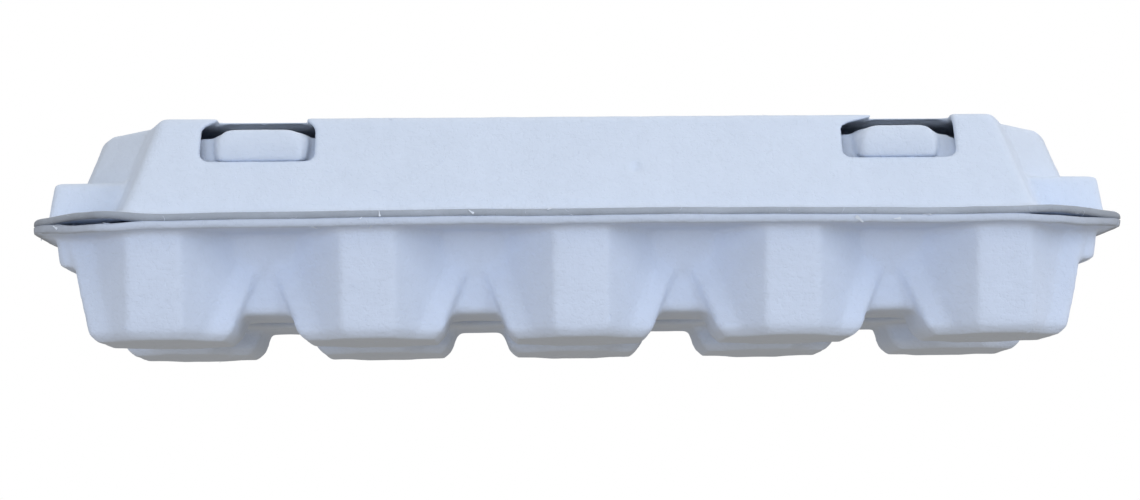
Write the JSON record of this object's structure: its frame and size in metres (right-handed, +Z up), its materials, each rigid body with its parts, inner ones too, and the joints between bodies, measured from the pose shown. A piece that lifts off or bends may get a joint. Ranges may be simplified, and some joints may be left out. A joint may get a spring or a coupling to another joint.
{
  "type": "moulded pulp egg carton",
  "caption": "Closed egg carton of moulded pulp: a tray of faceted cups under a flat-topped hinged lid with latch knobs showing through windows in its front top edge.",
  "frame": {"origin": "centre of the carton's outline on the plane that the cups stand on", "axes": "+X along the carton, +Y from the latch side to the fold side, +Z up"},
  "size_m": [0.2958, 0.122, 0.0605],
  "materials": {
    "pulp_tray": "matte",
    "pulp_flap": "matte",
    "pulp_lid": "matte"
  },
  "bodies": {
    "tray": {"tray": "pulp_tray", "locking_flap": "pulp_flap"},
    "lid": {"lid": "pulp_lid"}
  },
  "joints": [
    {"name": "lid_hinge", "type": "hinge", "parent": "tray", "child": "lid", "pos_m": [0, 0.061, 0.031], "axis": [-1, 0, 0], "range_deg": [0, 180], "deforming": ["locking_flap"]}
  ]
}
